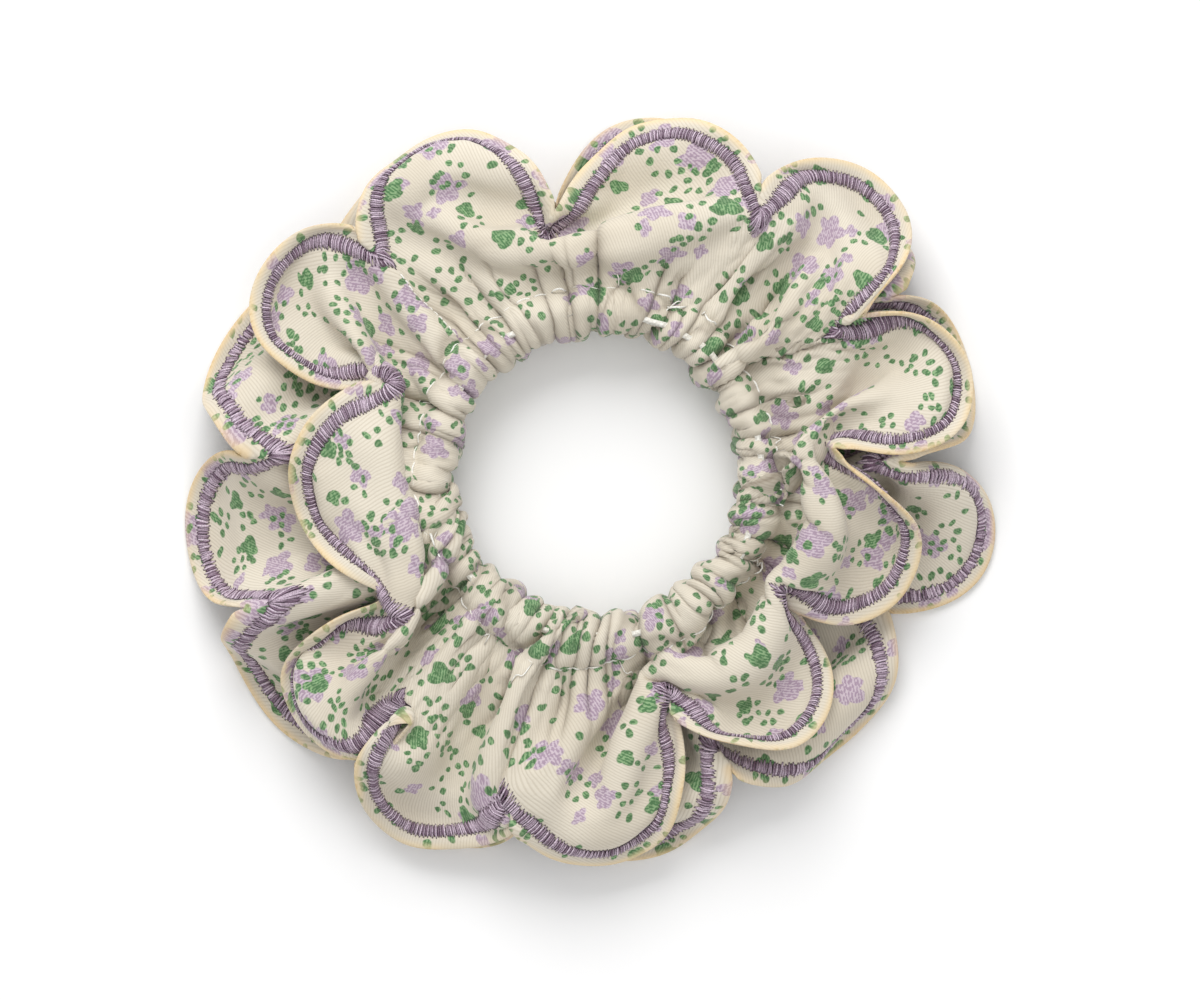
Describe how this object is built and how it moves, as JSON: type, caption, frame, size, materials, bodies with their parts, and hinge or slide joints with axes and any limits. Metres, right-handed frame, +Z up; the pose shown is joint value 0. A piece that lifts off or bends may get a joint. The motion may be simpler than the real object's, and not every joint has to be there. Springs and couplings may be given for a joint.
{
  "type": "scrunchie",
  "caption": "Ruffled hair tie: a double frill of printed cotton with scalloped, satin-stitched edges, gathered on an elastic ring that stretches open.",
  "frame": {"origin": "middle of the underside of the whole scrunchie, which lies flat on a table", "axes": "+Z up through the hair opening; +X along the longest width, which is also the way the ring stretches open"},
  "size_m": [0.12, 0.1101, 0.0187],
  "materials": {
    "outer_fabric": "printed cotton twill, matt",
    "inner_fabric": "printed cotton twill, matt",
    "embroidery": "satin stitch thread, soft sheen",
    "sewing_thread": "spun polyester thread",
    "elastic": "white braided elastic, matt"
  },
  "bodies": {
    "left_half": {"outer_fabric_left": "outer_fabric", "inner_fabric_left": "inner_fabric", "upper_satin_left": "embroidery", "lower_satin_left": "embroidery", "upper_casing_seam_left": "sewing_thread", "lower_casing_seam_left": "sewing_thread", "closing_seam_upper": "sewing_thread", "closing_seam_lower": "sewing_thread", "elastic_left": "elastic", "elastic_join_stitches": "sewing_thread"},
    "right_half": {"outer_fabric_right": "outer_fabric", "inner_fabric_right": "inner_fabric", "upper_satin_right": "embroidery", "lower_satin_right": "embroidery", "upper_casing_seam_right": "sewing_thread", "lower_casing_seam_right": "sewing_thread", "elastic_right": "elastic"}
  },
  "joints": [
    {"name": "stretch", "type": "slide", "parent": "left_half", "child": "right_half", "axis": [1, 0, 0], "range_m": [0, 0.06], "stiffness_N_per_m": 80}
  ]
}
